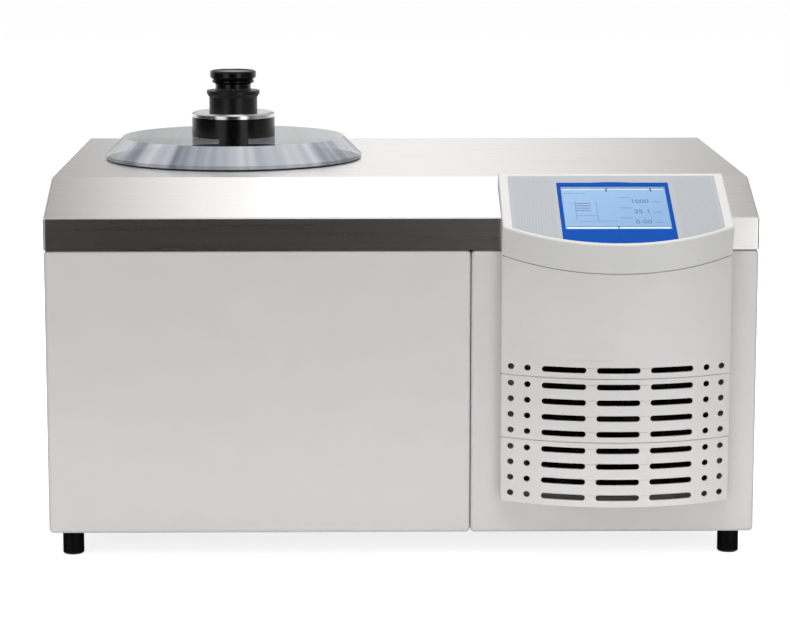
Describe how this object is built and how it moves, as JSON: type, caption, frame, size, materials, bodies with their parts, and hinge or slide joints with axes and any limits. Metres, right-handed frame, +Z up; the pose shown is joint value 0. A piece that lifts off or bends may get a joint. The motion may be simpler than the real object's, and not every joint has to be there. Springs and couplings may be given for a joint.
{
  "type": "freeze dryer",
  "caption": "Benchtop laboratory freeze dryer: ice chamber under a clear round lid with a vent valve, inclined display console and a slotted air inlet.",
  "frame": {"origin": "on the bench, under the middle of the cabinet", "axes": "+X to the right across the front, +Y from the front to the back, +Z up"},
  "size_m": [0.78, 0.6693, 0.5193],
  "materials": {
    "painted_panel": "fine powder coat, satin",
    "brushed_deck": "brushed along the width",
    "zinc_sheet": "plain zinc-coated sheet",
    "black_rubber": "matt",
    "console_plastic": "fine grain",
    "foil_grey": "fine upright stripes",
    "bezel_blue": "smooth",
    "lcd_blue": "back-lit display",
    "stainless": "satin",
    "foam": "cellular",
    "clear_acrylic": "polished",
    "black_plastic": "turned, half gloss",
    "chrome": "polished",
    "copper": "drawn tube",
    "black_paint": "gloss",
    "aluminium": "mill finish",
    "green_board": "solder mask",
    "brass": "turned"
  },
  "bodies": {
    "cabinet": {"base_pan": "zinc_sheet", "left_front_panel": "painted_panel", "right_front_panel": "painted_panel", "left_side_panel": "painted_panel", "right_side_panel": "painted_panel", "rear_panel": "painted_panel", "partition_wall": "zinc_sheet", "deck_frame": "black_paint", "top_deck": "brushed_deck", "condenser_chamber": "stainless", "vacuum_branch": "stainless", "chamber_insulation": "foam", "chamber_cradle": "zinc_sheet", "evaporator_coil": "stainless", "lid_seal": "black_rubber", "chamber_lid": "clear_acrylic", "valve_body": "black_plastic", "valve_nut": "black_plastic", "valve_ring": "chrome", "rubber_valve": "black_rubber", "console_housing": "console_plastic", "membrane_overlay": "foil_grey", "display_bezel": "bezel_blue", "lcd_screen": "lcd_blue", "display_board": "green_board", "vent_cover": "console_plastic", "compressor": "black_paint", "compressor_plate": "black_paint", "compressor_grommets": "black_rubber", "terminal_cover": "black_plastic", "condenser_core": "aluminium", "fan_shroud": "zinc_sheet", "fan_motor": "black_paint", "fan_bracket": "black_paint", "filter_drier": "copper", "discharge_line": "copper", "liquid_line": "copper", "suction_line": "copper", "vacuum_sleeve": "black_rubber", "vacuum_port": "stainless", "vacuum_port_nut": "stainless", "vacuum_gauge": "stainless", "drain_pipe": "stainless", "drain_valve_body": "brass", "drain_nozzle": "brass", "power_box": "zinc_sheet", "power_board": "green_board", "mains_inlet": "black_plastic", "rocker_frame": "black_plastic", "pump_socket": "black_plastic", "fuse_holders": "black_plastic", "foot_front_left": "black_rubber", "foot_front_right": "black_rubber", "foot_rear_left": "black_rubber", "foot_rear_right": "black_rubber"},
    "vent_plug": {"vent_plug": "black_plastic"},
    "switch": {"power_rocker": "black_plastic"},
    "drain_tap": {"drain_plug": "brass", "drain_lever": "black_plastic"},
    "fan": {"fan_rotor": "black_plastic"}
  },
  "joints": [
    {"name": "vent_plug_turn", "type": "hinge", "parent": "cabinet", "child": "vent_plug", "pos_m": [-0.1955, 0.031, 0.4958], "axis": [0, 0, 1], "range_deg": [0, 180]},
    {"name": "switch_rock", "type": "hinge", "parent": "cabinet", "child": "switch", "pos_m": [0.3, 0.2685, 0.285], "axis": [1, 0, 0], "range_deg": [0, 18]},
    {"name": "drain_tap_turn", "type": "hinge", "parent": "cabinet", "child": "drain_tap", "pos_m": [-0.1955, 0.293, 0.068], "axis": [0, 0, 1], "range_deg": [0, 90]},
    {"name": "fan_spin", "type": "hinge", "parent": "cabinet", "child": "fan", "pos_m": [0.2336, -0.189, 0.148], "axis": [0, 1, 0], "continuous": true}
  ]
}
